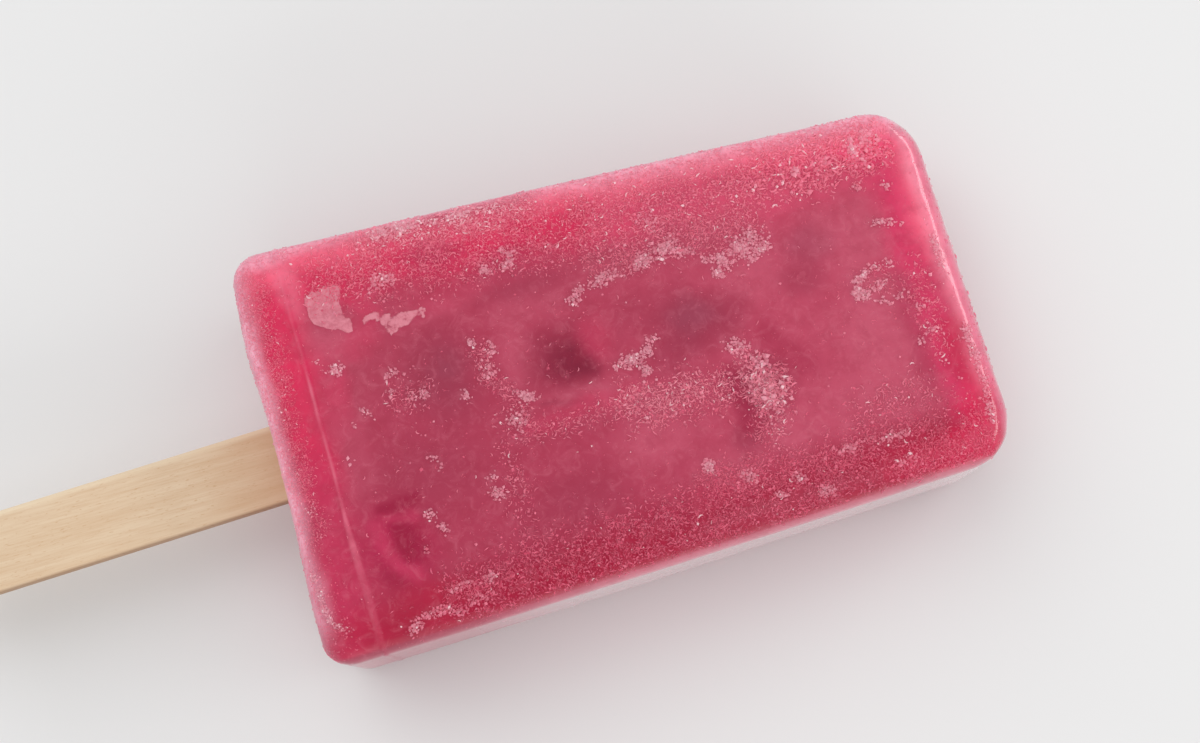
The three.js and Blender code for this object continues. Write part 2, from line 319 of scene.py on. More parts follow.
GROUND_AT_STICK = under_gloss("ad4058")
GROUND_AT_TIP = under_gloss("bb4d65")
SIDES = under_gloss("bd4860")
SIDES_DEEP = under_gloss("a53450")
CLOUD_SIZE = 14.0
CLOUD_SHIFT = 12.0  # how far clouds move the change between the grounds
ZONES = [
    ("c2586f",  # milky
     spot(9.5, 11.5, 3.4, 2.4, 0.75, -10), spot(9, -3, 2.6, 8, 0.35), spot(31.6, 4.6, 2.4, 5, 0.55),
     spot(36, 9, 4, 1.6, 0.3), spot(58.4, -3.2, 2, 1.6, 0.9, 20), spot(45, -10, 5.5, 3.2, 0.7),
     spot(76.5, 6, 4, 6, 0.8), spot(75, -5, 5.5, 6.4, 0.95), spot(61.5, 6.5, 4, 3.6, 0.7),
     spot(61, -14, 3, 2.6, 0.75), spot(71, -12, 8, 4, 0.6), spot(42, -3.5, 6, 2, 0.5, -8),
     spot(38, -2.1, 5, 0.8, 0.5, -4), spot(53, -16, 5, 3, 0.5), spot(24, 13, 8, 1.6, 0.35, 4),
     spot(34, 10.5, 6, 1.6, 0.35, 8), spot(6.8, 16, 1.6, 4, 0.6), spot(72, 9.6, 1.6, 2.4, 0.7)),
    ("9c3c52",  # dusky
     spot(22, 4.5, 4.5, 6, 0.95), spot(17, -7, 7, 5, 0.45), spot(34, -15, 6.5, 4, 0.5),
     spot(52.6, 2.2, 5, 4, 0.9), spot(18.2, 13, 3.6, 1.2, 0.5), spot(49, 5.5, 6, 2.6, 0.35, 10),
     spot(55.5, -13, 2.4, 2.4, 0.7), spot(57.5, 3, 3, 3.4, 0.5), spot(67.5, 4.5, 3.4, 2, 0.5),
     stroke(2.6, 0.6, (56.2, -5.5), (56.2, -9.5)), spot(24, 18.6, 5, 2.6, 0.5),
     spot(34, 13.2, 5.6, 2.6, 0.5), spot(59.5, -7.4, 3, 3.6, 0.9), spot(49, -0.5, 3, 2, 0.5),
     spot(45.5, 18, 3, 1.6, 0.3), stroke(0.5, 0.6, (33, -2.3), (36, -3.3), (38.6, -4.2))),
    ("96495d",  # fruit that lies deep
     spot(53, 3.8, 3, 2.4, 0.5), spot(69.5, 8.2, 3.6, 2.3, 0.4), spot(23, 5.5, 2.2, 2.4, 0.35)),
    ("7b1f3a",  # fruit that lies near
     spot(37, 2.6, 4.4, 4.4, 0.6), spot(37.8, 1.6, 2.8, 2.8, 0.75), spot(39.6, 0.6, 1.8, 1.4, 0.5)),
    ("9a2643",  # clear and dark beside the frosted lump
     stroke(3.2, 0.55, (55.6, -5.6), (56, -8), (56.8, -11)), stroke(4, 0.4, (61.8, -1.5), (64.2, -6)),
     spot(24, -20.6, 6, 2, 0.5), spot(43.6, -19, 3, 1.6, 0.4), spot(33, -20.4, 4, 1.6, 0.5)),
    ("c5405f",  # clear and bright between the milky parts
     spot(28, 14.6, 12, 2, 0.35, 4), spot(14.4, 15.6, 1.8, 3.6, 0.85), spot(12.8, 10.8, 2.6, 2, 0.6),
     spot(8.6, 7, 2, 5.4, 0.8), spot(41, 4, 2.2, 3, 0.5), stroke(1.8, 0.5, (31, -4.6), (44, -3.4)),
     spot(77.5, 3, 1.8, 1.2, 0.5), spot(52, -18.8, 6, 1.6, 0.5), spot(44, 17.6, 5, 2, 0.5)),
    ("ab244b",  # a slice of fruit at the surface
     spot(11.4, -14.4, 4.6, 5.8, 0.95, 8)),
    ("981e42",  # its dark parts
     spot(13, -13.4, 1.8, 3.6, 0.95, 12), stroke(1.6, 0.85, (11.2, -9.2), (13, -9), (15.2, -9.6)),
     spot(10, -18.2, 2.4, 1.3, 0.5, -15)),
    ("c64263",  # its light parts
     stroke(2.2, 0.7, (9.4, -11.8), (10.2, -14.4), (11.5, -16.8), (13.2, -18)),
     stroke(1.1, 0.5, (11, -10.4), (12.8, -10.7), (14.4, -11.3))),
    ("da2e58",  # where light comes through near the stick end and the far side
     stroke(5.6, 0.85, (4, 22), (3.8, 10)), stroke(5.4, 0.8, (3.9, 10), (4, -4)),
     stroke(6, 0.9, (3, 20.4), (25, 20), (48, 18.8))),
    ("cc2c50",  # deeper red in that light
     spot(44.4, 19, 2.8, 1.8, 0.7)),
    ("b23454",  # duller red in that light
     spot(54, 17, 4, 1.8, 0.6), spot(24.5, 19.8, 4, 2, 0.6), spot(33, 16.6, 3.4, 1.4, 0.5)),
    ("d64f6e",  # paler towards the tip
     stroke(7, 0.8, (48, 18.6), (66, 17), (80, 17.5))),
    ("c2385a",  # the stick end towards the near side
     stroke(5.6, 0.8, (4, -4), (4.4, -24))),
    ("d43e65",  # light that comes through along the tip
     stroke(5, 0.85, (82.2, 16), (81.8, 4), (82, -4), (82.8, -12), (83.2, -17))),
    ("a93f58",  # duller inside it
     stroke(2.6, 0.5, (79.2, 1), (79.4, -11))),
    ("bb1e42",  # deeper outside it
     stroke(3.2, 0.5, (83.8, -7), (84, -12))),
    ("f8507c",  # the tip's far corner
     spot(80.4, 19.6, 4.8, 3, 0.9), spot(71, 20, 6, 2, 0.6)),
    ("a30f3e",  # deep red along the near side, darker still with painted shade away from the lamps
     stroke(9.4, 0.98, (10, -25.2), (40, -23.8), (70, -22.8), (80, -22))),
    ("b61443",  # brighter parts of it
     spot(76, -20.2, 8, 2.2, 0.8), spot(4, -23, 5, 3, 0.5), spot(15, -21.6, 5, 2.4, 0.5)),
    ("d83056",  # the tip's near corner
     spot(84.2, -17.6, 2.6, 4.4, 0.85), spot(77, -21.6, 6, 1.8, 0.4), spot(81.5, -20.4, 3, 2, 0.7)),
    ("f96986",  # the edges along the tip and the far side: painted light where they catch the lamps, and frost on the far side
     stroke(6, 0.9, (86.4, 16), (86.4, 5)), stroke(3.2, 0.8, (87, 3), (86.8, -14)),
     stroke(4.6, 0.8, (3, 23.6), (14, 23.5)), stroke(4.6, 0.35, (14, 23.5), (40, 23.2)),
     stroke(4.6, 0.8, (40, 23.2), (82, 21.6))),
    ("f294ab",  # the stick end's far corner: frost and painted light
     spot(4.5, 24.8, 5, 1.6, 0.9), spot(6.4, 20, 1.4, 4, 0.3)),
]
# the rims' pale pink: frost, with painted light where the rounded edges catch the lamps
RIM_FROST_AND_LIGHT_PINK = under_gloss("fcb3c8")
RIM_REACH = 2.3
RIM_WIDER = 1.7  # from the bar's middle to the tip
RIM_NARROWER = 1.1  # beside the thickest frost
NO_RIM = [
    spot(2.6, 18, 1.4, 4, 0.5), spot(86, -17.5, 3, 6, 0.9), spot(84.2, -7, 1.6, 8, 0.75),
]
TIP_EDGE = under_gloss("d8607f")
OUTLINE_SHADE_AND_REFLECTION_MAUVE = under_gloss("c46f86")  # painted shade and greyish reflection along the outline, where the front turns over into the sides
# the rib's pale line: its frost, with a painted highlight where it catches the lamps
RIB_FROST_AND_HIGHLIGHT_PINK = under_gloss("d96d84")
CLEAR_RIB = [stroke(6, 1, (6.4, 8), (6.4, -12))]  # where it shows most
# the near side: its own red, paler towards the tip with a painted reflection of the bright floor
STRIP_AT_STICK = srgb("9a4255")
STRIP_AT_TIP_WITH_REFLECTION = srgb("c36b7d")
STRIP_CLEAR = srgb("b2556a")
FRONT = (3.0, 1.0)  # how far under the front face the front's looks start and are whole


def mixed(color, other, share):
    return color + (np.array(other) - color) * share[:, None]


def filled(color, points):
    """The same colour for each of the points."""
    return np.tile(color, (len(points), 1))


def shaken(points, reach, size, seeds):
    """The points moved about by noise, so that the edges of what is marked at them are ragged."""
    return points + reach * np.stack([layered_noise(points, size, seed) for seed in seeds], 1)


def risen(points, low, high):
    """0 to 1 as the surface rises from `low` to `high` millimetres under the front face."""
    x, _, z = points.T
    return smoothstep(z, half_depth(x) - low, half_depth(x) - high)


def near_side(points, reach):
    """1 on the long side that lies at -y, 0 from `reach` inwards of it."""
    x, y, _ = points.T
    return smoothstep(-y - half_width(x), -reach, -0.15 * reach)


def stick_end(points):
    """1 along the stick end, less towards its corners."""
    x, y, _ = points.T
    corners = smoothstep(y, -22.0, -4.0) * (1 - 0.5 * smoothstep(y, 15.0, 20.0))
    return (1 - smoothstep(x, 2.0, 5.0)) * corners


def turned_over(points):
    """1 where the front has all but turned over into the other faces, except the near side."""
    x, y, _ = points.T
    line = 1 - smoothstep(-outline_distance(x, y), 0.3, 0.8)
    line *= risen(points, 3.2, 2.4) * (1 - near_side(points, 5.0))
    return line * (1 - 0.25 * smoothstep(x, 60.0, 84.0))


def rib_frost_and_highlight_share(points):
    """How much of the rib's pale pink, its frost and painted highlight, shows: fainter and softer
    towards the near side.
    """
    soft = 1 - smoothstep(points[:, 1], -16.0, -6.0)
    line = 1 - smoothstep(np.abs(rib_distance(points)) - 0.22 * soft, 0.04, 0.3 + 0.1 * soft)
    line *= 0.2 + 0.42 * all_marks(points, CLEAR_RIB) * (1 - 0.4 * soft)
    return line * np.clip(1.0 + 1.5 * noise(points, 3.0, 81), 0.2, 1.4)


def rim_frost_and_light_share(points):
    """How much of the rim's pale pink shows, its frost and painted light on the rounded edges: all round
    the front, except on its near side.
    """
    x, y, _ = points.T
    end = stick_end(points)
    reach = RIM_REACH + RIM_WIDER * smoothstep(x, 38, 52) + layered_noise(points, 7.0, 72)
    reach -= RIM_NARROWER * smoothstep(x, 14, 20) * (1 - smoothstep(x, 33, 44))
    rim = 1 - smoothstep(-outline_distance(x, y), 1.2 * end - 0.6, reach + 0.8 - 0.5 * end)
    rim *= 1 - 0.4 * smoothstep(x, 84.5, 86.5)
    rim *= 0.2 + 0.4 * end + (0.76 - 0.3 * end) * risen(points, 2.6, 1.4)
    return rim * (1 - near_side(points, 7.0)) * (1 - all_marks(points, NO_RIM))


def face_tone(points, clouds):
    """The front's colour without its rim."""
    along = points[:, 0] + CLOUD_SHIFT * clouds
    face = mixed(filled(GROUND_AT_STICK, points), GROUND_AT_TIP, smoothstep(along, 25, 70))
    ragged = shaken(points, 1.4, 6.0, (11, 21, 31))
    for code, *marks in ZONES:
        face = mixed(face, under_gloss(code), all_marks(ragged, marks))
    # the rib's frost and painted highlight
    return mixed(face, RIB_FROST_AND_HIGHLIGHT_PINK, rib_frost_and_highlight_share(points))


def strip_tone_and_reflection(points):
    """The near side's colour, paler towards the tip with a painted reflection: redder at the stick and
    cloudy all along.
    """
    strip = mixed(filled(STRIP_AT_STICK, points), STRIP_AT_TIP_WITH_REFLECTION, smoothstep(points[:, 0], 10, 40))
    cloudy = layered_noise(points * (0.4, 1.0, 1.0), 4.0, 73)
    return mixed(strip, STRIP_CLEAR, 0.6 * smoothstep(cloudy, 0.0, 0.5))


def puree_tone(points):
    """The puree's colour at every point of the surface, with its painted light, shade and reflection."""
    x, y, _ = points.T
    clouds = layered_noise(points, CLOUD_SIZE, 71)
    sides = mixed(filled(SIDES, points), SIDES_DEEP, smoothstep(clouds, -0.3, 0.4))
    tone = mixed(sides, face_tone(points, clouds), risen(points, *FRONT))
    # pale rims: their frost and painted light
    tone = mixed(tone, RIM_FROST_AND_LIGHT_PINK, rim_frost_and_light_share(points))
    tone = mixed(tone, TIP_EDGE, 0.7 * smoothstep(x, 85.6, 87.0))
    # painted shade and reflection along the outline
    tone = mixed(tone, OUTLINE_SHADE_AND_REFLECTION_MAUVE, (0.5 - 0.2 * stick_end(points)) * turned_over(points))
    # the near side's colour with its painted reflection
    return mixed(tone, strip_tone_and_reflection(points), 0.85 * smoothstep(-y - half_width(x), -1.0, -0.5))


# ---- Frost: how thickly the fine crystals lie, and the coarser crumbs and flakes

FROST = [
    stroke(8.5, 0.62, (12, 20.5), (30, 19.2), (48, 18), (62, 16.6)),
    stroke(5, 0.5, (30, 23.2), (60, 22), (80, 21)), stroke(5, 0.75, (17, 23.5), (36, 23)),
    stroke(4.6, 0.5, (45, 13.2), (63, 12.8)), spot(72, 18, 9, 3.6, 0.6, -4),
    spot(80.5, 18.5, 3.6, 3, 0.6), stroke(2.4, 0.5, (27, 6), (27.6, 2.5), (29.6, -0.4)),
    spot(28.6, -3.4, 3, 2.4, 0.5), stroke(2.8, 0.4, (31, -5.4), (38, -5.6), (44, -4.6)),
    stroke(5.2, 0.6, (43, -5.4), (53, -5.4)), spot(50, -6.6, 7, 2.4, 0.5, 6),
    spot(59.7, -7.9, 2.8, 4, 0.95, 15), spot(58.4, -3.4, 1.8, 1.4, 0.7), spot(58.6, -12, 2.4, 3, 0.6),
    spot(27, -12, 2.2, 8, 0.35), spot(60, -18.5, 10, 3, 0.6), spot(74, -14, 7, 4, 0.4),
    stroke(8.6, 0.6, (20, -22.6), (50, -21), (82, -20.6)), spot(20, -22, 4, 1.8, 0.4),
    spot(17.5, 3.4, 3.4, 2.6, 0.35), spot(77, 1.6, 3.4, 2.4, 0.3), spot(81.6, -3, 2.4, 7, 0.45),
    spot(52, -17, 4, 2.4, 0.45), stroke(4.6, 0.85, (1.8, 22), (1.5, 6), (1.2, -8)),
    stroke(4, 0.25, (1.6, -8), (2, -22)),
]
PALE_FROST = [
    spot(59.7, -7.9, 2.8, 4, 0.7, 15), stroke(6, 0.65, (43, -5.2), (56, -4.6)),
    spot(60, -13.5, 3, 3.4, 0.5), spot(76, 18, 9, 4, 0.45, -4), stroke(7, 0.4, (2, 23), (2, -8)),
    spot(26, 23, 14, 2.4, 0.85), stroke(6, 0.3, (30, 22), (66, 20)),
]
CRUMBS = [
    spot(17.6, 18, 1.8, 1.3, 0.6), stroke(0.9, 0.7, (29.5, 16.1), (31.5, 15.6), (33.6, 16)),
    stroke(0.7, 0.7, (33, 18.2), (34.2, 16.8)), stroke(1.4, 0.55, (39.6, 9.2), (41.6, 10.4), (44.6, 11)),
    stroke(1.2, 0.35, (44.6, 11.2), (48.6, 11.2)), stroke(1.6, 0.35, (53, 12.4), (58, 9.6)),
    spot(50.6, 12.1, 2.3, 1.2, 0.85, 15), spot(53.6, 13, 0.8, 1.2, 0.5), spot(52, 16.8, 1.6, 1.8, 0.4),
    spot(62.9, 10.2, 2.4, 2, 0.85, 15), spot(59.6, 9.4, 1.4, 1.5, 0.65), spot(58, 7.9, 0.7, 0.5, 1, 20),
    stroke(1.3, 0.7, (42.8, 0.1), (45, 0.2), (46.8, 0.6), (47.8, 2)), spot(46, -1.4, 0.8, 0.8, 0.8),
    spot(28.2, 6, 1, 0.9, 0.7), spot(27.4, 3.4, 1.3, 1.5, 0.4), spot(26.4, 7.5, 0.5, 0.5, 0.9),
    stroke(1.1, 0.75, (30.2, -0.3), (31.8, -1.2)), spot(29.2, -3.4, 1.8, 1.4, 0.4),
    spot(24.2, 1.4, 0.7, 0.6, 0.85, 20), spot(9.6, 8.5, 0.8, 0.6, 0.7),
    stroke(0.7, 0.6, (7.5, 9.9), (8.2, 9)), spot(16.2, 6.3, 1, 0.8, 0.5), spot(15.4, 4, 0.6, 0.5, 0.7),
    spot(18.7, 2.7, 1.3, 0.6, 0.6), stroke(0.7, 0.5, (11.4, 3), (12.2, 2.2)),
    spot(10.2, 1.2, 0.4, 0.3, 0.8), spot(8.6, -2.9, 0.4, 0.4, 0.8),
    stroke(0.5, 0.9, (18.2, -5), (18.9, -6.3)), spot(24.4, -9.4, 0.8, 0.6, 0.7),
    spot(24.8, -11.3, 1.4, 0.9, 0.5), stroke(0.9, 0.65, (16.4, -11.3), (16.9, -12.6), (17.6, -13.8)),
    spot(14.5, -15.6, 0.35, 0.35), spot(3, -7.4, 0.9, 0.6, 0.5, 25), spot(1.6, 3.2, 0.4, 0.8, 0.8),
    stroke(1, 0.5, (16.4, -21), (18.6, -20.6), (21.6, -20.7)),
    stroke(1.1, 0.5, (10.8, -24.2), (12.6, -23.3), (14.4, -22.9), (17, -23.6)),
    spot(19.4, -22.9, 2, 1, 0.35, 15), stroke(0.7, 0.8, (1.3, -20), (2.2, -21.4), (3.8, -22.4)),
    stroke(0.9, 0.8, (1.3, -14), (1.5, -19.5)), spot(60, -7.4, 2.6, 3.4, 0.2, 10),
    stroke(2, 0.5, (57.2, -1.5), (59.4, -3.5)), spot(50, -15, 0.9, 1, 0.75),
    spot(54, -17.5, 1.8, 1.2, 0.5), stroke(1.3, 0.38, (64, -17.4), (74.5, -17.2)),
    stroke(0.6, 0.5, (79, 3.4), (76.4, 3.3), (75, 2.8)),
    stroke(1, 0.7, (75, 2.8), (74, 1.8), (73.6, 0.5), (75, 0.2)),
    stroke(0.7, 0.7, (75.8, 0.8), (77.8, 1.3)),
    stroke(0.7, 0.5, (75.4, -0.6), (77.6, -1.4), (79.6, -0.6)),
    stroke(0.7, 0.6, (78.2, 9), (80, 8.5), (82, 8.1)),
    stroke(0.7, 0.5, (79.6, -6.8), (81.2, -5.8), (82.8, -6.6)), spot(81.5, 13, 0.5, 0.5, 0.9),
    spot(80.4, 19, 2.6, 2, 0.3), spot(79, 18.8, 0.5, 0.9, 0.8), spot(79.9, 17.2, 0.4, 0.8, 0.8),
    spot(80.5, 19.8, 0.5, 0.4, 0.9), spot(71.2, 18, 0.5, 0.3, 0.9), spot(73.3, 17.8, 0.3, 0.4, 0.9),
    spot(75.4, 18.1, 0.6, 0.3, 0.7), spot(69.2, 16.8, 0.4, 0.3, 0.8), spot(77.7, 13.9, 0.4, 0.3, 0.8),
    spot(60, -19, 1.4, 0.7, 0.5, -30), spot(63, -21.5, 1.4, 0.8, 0.5), spot(73.6, -20.6, 1.4, 0.9, 0.7),
    spot(57.2, -20.6, 1.2, 0.6, 0.5), spot(21, 24.3, 3, 0.8, 0.8),
    stroke(1.2, 0.55, (18, 23.9), (34, 23.5)), stroke(1, 0.7, (85.2, 5), (85.1, 1.5)),
    spot(81.4, -2.6, 0.8, 0.5, 0.4), spot(80.9, 1.8, 0.6, 1, 0.4), spot(81.6, -10, 0.5, 0.7, 0.25),
    spot(83, -12.5, 0.5, 0.4, 0.35), stroke(1.1, 0.55, (85.6, -7), (85.7, -14), (84.9, -18.5)),
]
FLAKES = [
    [(8, 18.2), (9, 19), (9.8, 18.7), (10.8, 19.2), (12.3, 18.9), (12.4, 17.9), (11.9, 17.3),
     (12.1, 16.4), (12.5, 15.8), (12.2, 15), (13.2, 14.2), (13.1, 13.6), (12.7, 12.3), (11.2, 13.1),
     (9.8, 14), (8.7, 14.8), (8, 15.8), (8.2, 16.8)],
    [(14, 13.8), (15.4, 14.4), (16.2, 14.8), (16.9, 14), (18, 13.5), (19, 13.4), (19.7, 13.7),
     (20.4, 13.2), (21.4, 13.6), (22.2, 13.2), (21.7, 12.1), (20.8, 12.2), (19.9, 11.9), (18.8, 11.5),
     (18.2, 11.5), (17.4, 11.1), (16.9, 10.9), (16.6, 11.8), (16.3, 12.7), (15.6, 13.4), (14.4, 13.2)],
]
FLAKE_REACH = 0.8  # how far inwards a flake's field rises
THIN_FLAKE = 0.06  # limit that leaves the second flake broken up
STRIP_REACH = 1.2  # how far in from the near side the frost is thin
EDGE_FROST = 0.35
SIDE_FROST = (0.1, 0.5)  # everywhere on the sides, and more in patches


def front_frost(points, ragged):
    """How thickly the fine frost lies on the front."""
    edge = 1 - smoothstep(-outline_distance(*ragged.T[:2]), 0.5, 4.5)
    edge *= 1 - near_side(points, 8.0)
    thin = 0.02 + 0.06 * noise(points, 5.0, 42)
    blotches = 0.6 + 0.4 * smoothstep(layered_noise(points, 3.6, 43), -0.3, 0.2)
    return np.maximum(blotches * all_marks(ragged, FROST), np.maximum(EDGE_FROST * edge, thin))


def frost_masks(points):
    """How thickly each kind of frost lies at every point, by name."""
    x, y, z = points.T
    front = risen(points, *FRONT)
    ragged = shaken(points, 1.2, 3.0, (12, 22, 32))
    finely = shaken(points, 0.5, 1.4, (13, 23, 33))
    strip = near_side(points, STRIP_REACH)
    tip_edge = 0.7 * smoothstep(x, 83.6, 85.2) * smoothstep(z, 0, 5)
    least, patchy = SIDE_FROST
    side_frost = least + patchy * smoothstep(layered_noise(points, 9.0, 41), -0.05, 0.35)
    frost = front * front_frost(points, ragged) + (1 - front) * side_frost
    frost *= (1 - 0.85 * strip) * (1 - tip_edge) * (1 - 0.7 * turned_over(points))
    lace = 0.4 + 0.6 * smoothstep(layered_noise(points, 1.5, 52), -0.2, 0.15)
    whole, thin_one = [patch_field(finely, corners) for corners in FLAKES]
    flakes = np.maximum(whole, np.minimum(thin_one, THIN_FLAKE))
    return {
        "frost": frost,
        "pale": np.maximum(0.2 + 0.2 * smoothstep(y, -18, -10), all_marks(ragged, PALE_FROST)),
        "crumb": front * lace * all_marks(finely, CRUMBS),
        "flake": np.clip(np.where(z > 0, flakes, -1) / FLAKE_REACH, -1, 1),
        "wet": np.maximum(strip * (0.25 + 0.75 * smoothstep(x, 14, 34)), tip_edge),
    }


CRUST = (0.02, 0.07)  # a rise wherever frost lies, and more or less of it at random
CRUMB_RISE = (0.10, 0.12)
FLAKE_RISE = 0.12
RIPPLE = 0.05
MELT = 0.14  # at the tip


def frost_rise(points, masks):
    """How far the frost stands proud of the bar's form, in millimetres."""
    crust = masks["frost"] * (CRUST[0] + CRUST[1] * layered_noise(points, 1.4, 51))
    crumbs = masks["crumb"] * (CRUMB_RISE[0] + CRUMB_RISE[1] * layered_noise(points, 1.1, 52))
    flakes = FLAKE_RISE * smoothstep(masks["flake"], -0.2, 0.3)
    ripple = RIPPLE * layered_noise(points, 9.0, 61, layers=2)
    melt = MELT * smoothstep(points[:, 0], 80.0, 85.0) * layered_noise(points, 3.2, 62, layers=2)
    return off_back(points) * (crust + crumbs + flakes + ripple + melt)


# ---- From the mould's millimetres to the row's metres

TIP = np.array(Matrix.Rotation(TAPER_TURN, 3, "Y"))


def row_shift(points):
    """What moves the tipped bar to where the CAD node is, in millimetres."""
    low, high = (np.array(corner) * 1000 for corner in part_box("ice_bar"))
    tipped = points @ TIP.T
    return np.array([low[0] - tipped[:, 0].min(), (low[1] + high[1]) / 2, low[2] - tipped[:, 2].min()])


def to_row(points, shift):
    return (points @ TIP.T + shift) / 1000


# ---- Meshes

def mesh_object(name, points, faces, smooth=True):
    mesh = bpy.data.meshes.new(name)
    mesh.from_pydata(points.tolist(), [], faces)
    mesh.polygons.foreach_set("use_smooth", [smooth] * len(mesh.polygons))
    mesh.update()
    piece = bpy.data.objects.new(name, mesh)
    bpy.context.scene.collection.objects.link(piece)
    return piece


def add_masks(piece, masks):
    for name, values in masks.items():
        attribute = piece.data.attributes.new(name, "FLOAT", "POINT")
        attribute.data.foreach_set("value", values.astype(np.float32))


def add_tone(piece, tone):
    attribute = piece.data.attributes.new("tone", "FLOAT_COLOR", "POINT")
    rgba = np.concatenate([np.clip(tone, 0, 1), np.ones((len(tone), 1))], axis=1)
    attribute.data.foreach_set("color", rgba.astype(np.float32).ravel())


# ---- Materials

class Nodes:
    """Short ways to add nodes to a material."""

    def __init__(self, name):
        self.material = bpy.data.materials.new(name)
        self.material.use_nodes = True
        self.tree = self.material.node_tree
        self.shader = self.tree.nodes["Principled BSDF"]
        self.place = self.tree.nodes.new("ShaderNodeTexCoord").outputs["Object"]

    def link(self, value, socket):
        if isinstance(value, bpy.types.NodeSocket):
            self.tree.links.new(value, socket)
        elif isinstance(value, tuple):
            socket.default_value = (*value, 1.0)[:len(socket.default_value)]
        else:
            socket.default_value = value

    def mask(self, name, output="Fac"):
        node = self.tree.nodes.new("ShaderNodeAttribute")
        node.attribute_name = name
        return node.outputs[output]

    def noise(self, size_mm, detail=2.0, roughness=0.5, distortion=0.0, place=None):
        node = self.tree.nodes.new("ShaderNodeTexNoise")
        self.link(place or self.place, node.inputs["Vector"])
        node.inputs["Scale"].default_value = 1000 / size_mm
        node.inputs["Detail"].default_value = detail
        node.inputs["Roughness"].default_value = roughness
        node.inputs["Distortion"].default_value = distortion
        return node.outputs["Fac"]

    def stretched(self, size):
        """The place, shrunk along each axis by its number."""
        node = self.tree.nodes.new("ShaderNodeMapping")
        node.vector_type = "TEXTURE"
        node.inputs["Scale"].default_value = size
        self.link(self.place, node.inputs["Vector"])
        return node.outputs["Vector"]

    def math(self, operation, a, b=0.0):
        node = self.tree.nodes.new("ShaderNodeMath")
        node.operation = operation
        self.link(a, node.inputs[0])
        self.link(b, node.inputs[1])
        return node.outputs["Value"]

    def times(self, a, b):
        return self.math("MULTIPLY", a, b)

    def ramp(self, value, low, high, to_low=0.0, to_high=1.0):
        node = self.tree.nodes.new("ShaderNodeMapRange")
        node.interpolation_type = "SMOOTHSTEP"
        for socket, entry in zip(node.inputs, (value, low, high, to_low, to_high)):
            self.link(entry, socket)
        return node.outputs["Result"]

    def mix(self, share, a, b):
        node = self.tree.nodes.new("ShaderNodeMix")
        node.data_type = "RGBA"
        self.link(share, node.inputs["Factor"])
        self.link(a, node.inputs[6])
        self.link(b, node.inputs[7])
        return node.outputs[2]

    def bump(self, height, distance_mm, strength, normal=None):
        node = self.tree.nodes.new("ShaderNodeBump")
        node.inputs["Strength"].default_value = strength
        node.inputs["Distance"].default_value = distance_mm / 1000
        self.link(height, node.inputs["Height"])
        if normal is not None:
            self.link(normal, node.inputs["Normal"])
        return node.outputs["Normal"]

    def set(self, **sockets):
        for name, value in sockets.items():
            self.link(value, self.shader.inputs[name.replace("_", " ")])


# ---- Frost on the bar: its finest marks are in the material

FROST_RED = srgb("f4587c")
FROST_PINK = srgb("ff8ba3")
FROST_PALE = srgb("ffc2cd")
CRUMB_PINK = srgb("eda4b4")
FLAKE_PINK = srgb("d88594")
# the colour of painted glints of highlight on the crystals
GLINT_PINK = srgb("ffe0e6")
MILK = srgb("d8798d")
DEEP_RED = srgb("98203c")
FINE_MARKS = [(0.8, 0.035), (0.5, 0.045)]  # size in millimetres and width of the lines
ICE_ROUGH = 0.36
FROST_ROUGHER = 0.15
WET_SMOOTHER = 0.26
DRY_COAT = 0.05
WET_COAT = 0.9


def fine_frost(n):
    """Short curved marks, 0 to 1, as thick on the ground as the frost mask says."""
    frost = n.mask("frost")
    total = 0.0
    for size_mm, width in FINE_MARKS:
        wander = n.math("ABSOLUTE", n.math("SUBTRACT", n.noise(size_mm, 1.0, distortion=0.4), 0.5))
        line = n.ramp(wander, width, width * 0.4)
        gate = n.math("ADD", n.noise(size_mm * 0.9, 1.0), n.times(frost, 0.42))
        total = n.math("MAXIMUM", total, n.times(line, n.ramp(gate, 0.66, 0.76)))
    return total


def crumb_lace(n):
    """Ragged clumps where the crumb mask says."""
    clumps = n.noise(0.8, 4.0, roughness=0.65, distortion=0.2)
    return n.ramp(n.math("ADD", clumps, n.times(n.mask("crumb"), 0.36)), 0.76, 0.82)


def solid_flakes(n):
    """The flakes, with ragged edges."""
    ragged = n.times(n.math("SUBTRACT", n.noise(0.9, 4.0, roughness=0.6), 0.5), 0.7)
    return n.ramp(n.math("ADD", n.mask("flake"), ragged), -0.05, 0.07)


def puree_color(n):
    """The puree's tone, mottled and with milky feathers."""
    mottle = n.ramp(n.noise(2.2, 5.0, roughness=0.65), 0.4, 0.7, 0.0, 0.25)
    feathers = n.ramp(n.noise(1.8, 5.0, roughness=0.7, distortion=1.2), 0.45, 0.75, 0.0, 0.22)
    return n.mix(feathers, n.mix(mottle, n.mask("tone", "Color"), DEEP_RED), MILK)


